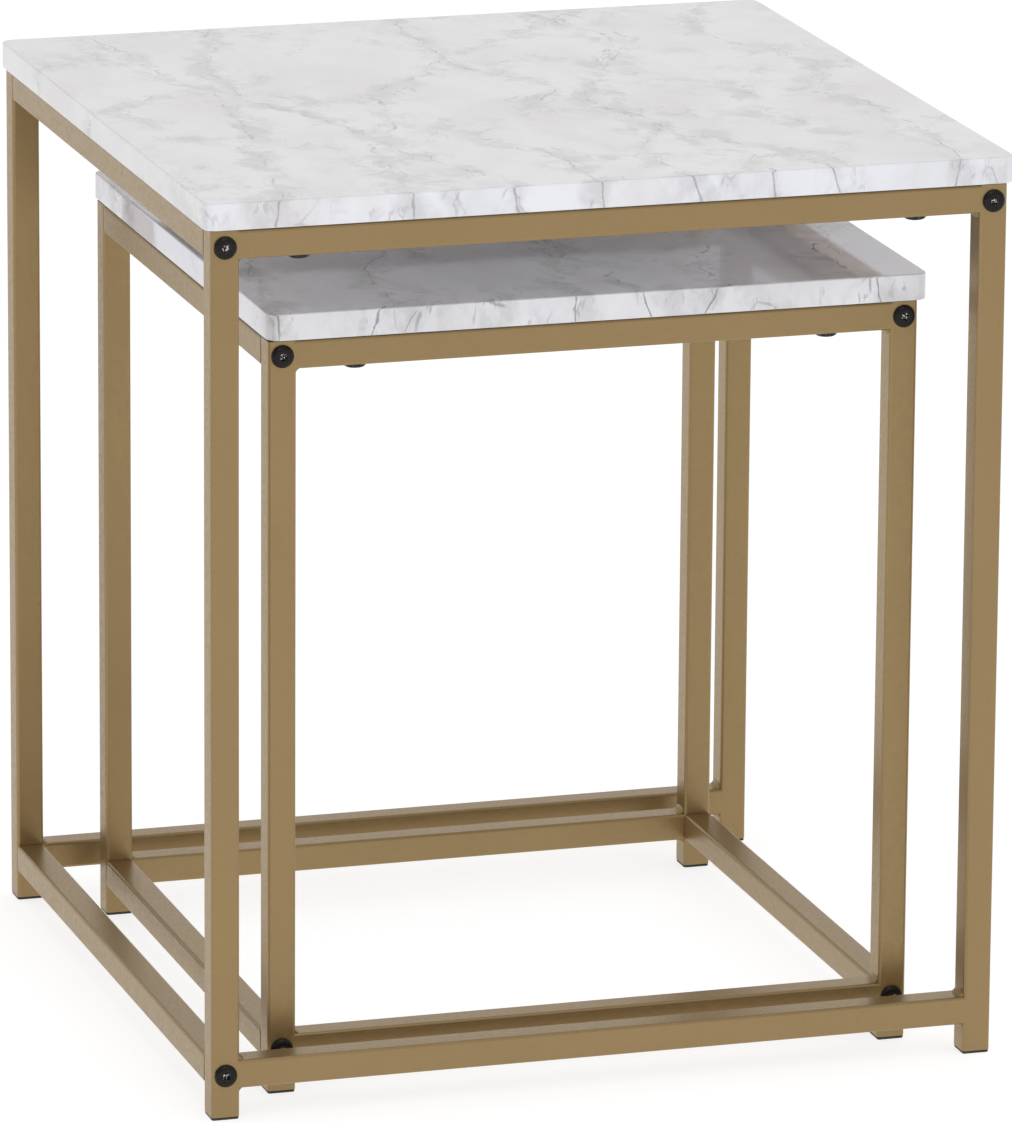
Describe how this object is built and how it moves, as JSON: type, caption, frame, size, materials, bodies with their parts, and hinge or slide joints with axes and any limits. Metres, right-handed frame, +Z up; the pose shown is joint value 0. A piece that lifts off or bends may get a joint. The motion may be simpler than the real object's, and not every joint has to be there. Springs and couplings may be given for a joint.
{
  "type": "nesting tables",
  "caption": "Nesting side tables with marble-effect board tops on bolted square-tube frames; the smaller table slides out sideways from under the larger one.",
  "frame": {"origin": "on the floor, under the middle of the large table and of the whole nest", "axes": "+Z up; +X towards the open side that the small table slides out of; -Y towards the front frame"},
  "size_m": [0.4606, 0.453, 0.515],
  "materials": {
    "marble_effect_board": "gloss white marble-effect laminate with soft grey veins",
    "gold_paint": "satin gold powder coat",
    "black_bolt": "black oxide, satin",
    "zinc_insert": "zinc plated",
    "black_plastic": "matt moulded"
  },
  "bodies": {
    "large_table": {"large_back_frame": "gold_paint", "large_foot_back_left": "black_plastic", "large_foot_back_right": "black_plastic", "large_foot_front_left": "black_plastic", "large_foot_front_right": "black_plastic", "large_frame_bolt_back_bottom_left": "black_bolt", "large_frame_bolt_back_top_left": "black_bolt", "large_frame_bolt_back_top_right": "black_bolt", "large_frame_bolt_front_bottom_left": "black_bolt", "large_frame_bolt_front_top_left": "black_bolt", "large_frame_bolt_front_top_right": "black_bolt", "large_front_frame": "gold_paint", "large_side_rail_bottom_left": "gold_paint", "large_side_rail_top_left": "gold_paint", "large_side_rail_top_right": "gold_paint", "large_top": "marble_effect_board", "large_top_bolt_back_left": "black_bolt", "large_top_bolt_back_right": "black_bolt", "large_top_bolt_front_left": "black_bolt", "large_top_bolt_front_right": "black_bolt", "large_top_insert_back_left": "zinc_insert", "large_top_insert_back_right": "zinc_insert", "large_top_insert_front_left": "zinc_insert", "large_top_insert_front_right": "zinc_insert"},
    "small_table": {"small_back_frame": "gold_paint", "small_foot_back_left": "black_plastic", "small_foot_back_right": "black_plastic", "small_foot_front_left": "black_plastic", "small_foot_front_right": "black_plastic", "small_frame_bolt_back_bottom_left": "black_bolt", "small_frame_bolt_back_bottom_right": "black_bolt", "small_frame_bolt_back_top_left": "black_bolt", "small_frame_bolt_back_top_right": "black_bolt", "small_frame_bolt_front_bottom_left": "black_bolt", "small_frame_bolt_front_bottom_right": "black_bolt", "small_frame_bolt_front_top_left": "black_bolt", "small_frame_bolt_front_top_right": "black_bolt", "small_front_frame": "gold_paint", "small_side_rail_bottom_left": "gold_paint", "small_side_rail_bottom_right": "gold_paint", "small_side_rail_top_left": "gold_paint", "small_side_rail_top_right": "gold_paint", "small_top": "marble_effect_board", "small_top_bolt_back_left": "black_bolt", "small_top_bolt_back_right": "black_bolt", "small_top_bolt_front_left": "black_bolt", "small_top_bolt_front_right": "black_bolt", "small_top_insert_back_left": "zinc_insert", "small_top_insert_back_right": "zinc_insert", "small_top_insert_front_left": "zinc_insert", "small_top_insert_front_right": "zinc_insert"}
  },
  "joints": [
    {"name": "small_table_slide", "type": "slide", "parent": "large_table", "child": "small_table", "axis": [1, 0, 0], "range_m": [-0.023, 0.44]}
  ]
}
